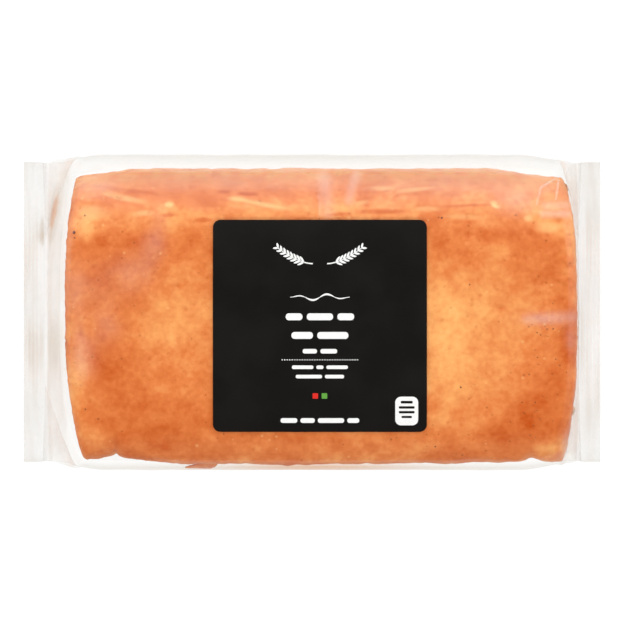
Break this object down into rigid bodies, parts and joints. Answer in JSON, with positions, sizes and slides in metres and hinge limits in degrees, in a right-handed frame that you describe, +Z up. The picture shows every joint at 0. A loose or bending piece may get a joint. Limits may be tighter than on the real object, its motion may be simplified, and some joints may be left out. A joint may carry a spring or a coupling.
{
  "type": "packaged angel food cake",
  "caption": "Loaf-shaped angel food cake with a golden-brown crust, sealed in a clear film pack with crimped gusseted ends and a square black label on top.",
  "frame": {"origin": "centre of the pack's footprint, on the surface that it rests on", "axes": "+X along the loaf from one crimped end seal to the other, +Y across it towards the rounder long edge, +Z up out of the labelled top"},
  "size_m": [0.246, 0.134, 0.0663],
  "materials": {
    "film_over_cake": "glossy clear film drawn over a golden-brown cake crust",
    "label_black": "satin black film label with white print",
    "cake_crust": "baked golden-brown crust, mottled, with fine dark specks and a paler rim",
    "clear_film": "clear glossy food film, a little milky where it is crimped or folded",
    "white_print": "opaque white ink on the label, with two small coloured dots"
  },
  "bodies": {
    "root": {"film_pack": "film_over_cake", "label": "label_black"}
  },
  "joints": []
}
